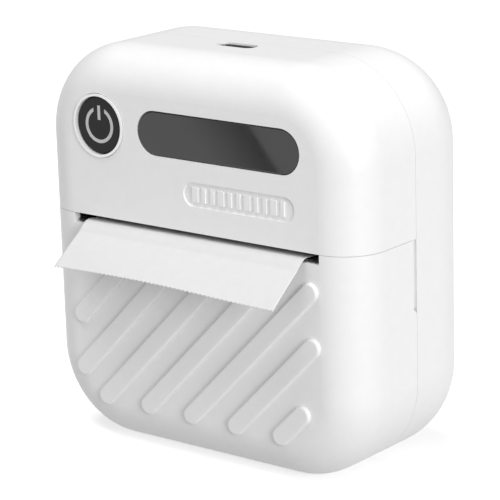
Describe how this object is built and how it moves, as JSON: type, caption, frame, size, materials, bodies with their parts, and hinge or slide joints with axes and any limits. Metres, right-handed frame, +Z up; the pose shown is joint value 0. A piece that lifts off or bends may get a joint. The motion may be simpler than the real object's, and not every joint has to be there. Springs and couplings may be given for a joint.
{
  "type": "thermal label printer",
  "caption": "Small white rounded desktop thermal label printer with a ribbed drop-down paper door, round power key, smoked window and a strip of paper leaving its slot.",
  "frame": {"origin": "centre of the underside, at mid width and mid depth of the case, on the ground plane", "axes": "+Z up, -Y towards the front face with the paper slot, +X to the right seen from the front"},
  "size_m": [0.082, 0.0545, 0.0844],
  "materials": {
    "white_shell": "fine satin moulded white plastic",
    "black_gloss": "glossy black plastic",
    "smoked_lens": "glossy smoked grey acrylic",
    "bright_trim": "polished bright ring",
    "symbol_grey": "light grey printed mark",
    "thermal_paper": "smooth coated white paper",
    "core_card": "plain wound card",
    "platen_rubber": "matte black rubber",
    "steel": "ground steel",
    "black_steel": "black coated steel",
    "aluminium": "satin aluminium",
    "head_ceramic": "glazed white ceramic",
    "gear_plastic": "natural acetal plastic",
    "frame_plastic": "black moulded plastic",
    "board_green": "green solder mask",
    "chip_black": "black moulded packages",
    "copper_wire": "enamelled copper windings",
    "battery_foil": "grey wrapped cell"
  },
  "bodies": {
    "case": {"front_shell": "white_shell", "rear_shell": "white_shell", "chassis": "frame_plastic", "hinge_pins": "steel", "paper_web": "thermal_paper", "idler_axle": "steel", "stepper_motor": "steel", "motor_coils": "copper_wire", "head_pivot_pin": "steel", "head_springs": "steel", "button_ring": "bright_trim", "tact_switch": "chip_black", "display_lens": "smoked_lens", "display_module": "chip_black", "main_board": "board_green", "board_parts": "chip_black", "usb_port": "steel", "usb_tongue": "chip_black", "battery": "battery_foil", "paper_sensor": "chip_black", "case_screws": "steel"},
    "door": {"paper_door": "white_shell", "door_latches": "white_shell", "tear_bar": "black_steel", "paper_strip": "thermal_paper", "platen_bushes": "gear_plastic"},
    "platen": {"platen_roller": "platen_rubber", "platen_shaft": "steel", "platen_gear": "gear_plastic"},
    "roll": {"paper_roll": "thermal_paper", "roll_core": "core_card"},
    "idler": {"idler_gear": "gear_plastic"},
    "rotor": {"motor_shaft": "steel", "motor_pinion": "gear_plastic", "motor_magnet": "black_steel"},
    "head": {"print_head": "head_ceramic", "head_heatsink": "aluminium"},
    "button": {"power_button": "black_gloss", "power_symbol": "symbol_grey"}
  },
  "joints": [
    {"name": "door_hinge", "type": "hinge", "parent": "case", "child": "door", "pos_m": [0, -0.0024, 0.0019], "axis": [1, 0, 0], "range_deg": [0, 90]},
    {"name": "platen_spin", "type": "hinge", "parent": "door", "child": "platen", "pos_m": [0, -0.0156, 0.0433], "axis": [1, 0, 0], "continuous": true},
    {"name": "roll_spin", "type": "hinge", "parent": "case", "child": "roll", "pos_m": [0, -0.003, 0.0215], "axis": [1, 0, 0], "continuous": true},
    {"name": "idler_spin", "type": "hinge", "parent": "case", "child": "idler", "pos_m": [0, -0.00557, 0.04656], "axis": [1, 0, 0], "continuous": true},
    {"name": "motor_spin", "type": "hinge", "parent": "case", "child": "rotor", "pos_m": [0, 0.00246, 0.05261], "axis": [1, 0, 0], "continuous": true},
    {"name": "head_tilt", "type": "hinge", "parent": "case", "child": "head", "pos_m": [0, -0.00216, 0.04372], "axis": [-1, 0, 0], "range_deg": [0, 3], "stiffness_Nm_per_rad": 2, "deforming": ["head_springs"]},
    {"name": "button_press", "type": "slide", "parent": "case", "child": "button", "axis": [0, 1, 0], "range_m": [0, 0.0006], "stiffness_N_per_m": 500}
  ],
  "couplings": [
    {"joint": "roll_spin", "follows": "platen_spin", "ratio": 0.25333},
    {"joint": "idler_spin", "follows": "platen_spin", "ratio": -0.5},
    {"joint": "motor_spin", "follows": "platen_spin", "ratio": 1.1667}
  ]
}
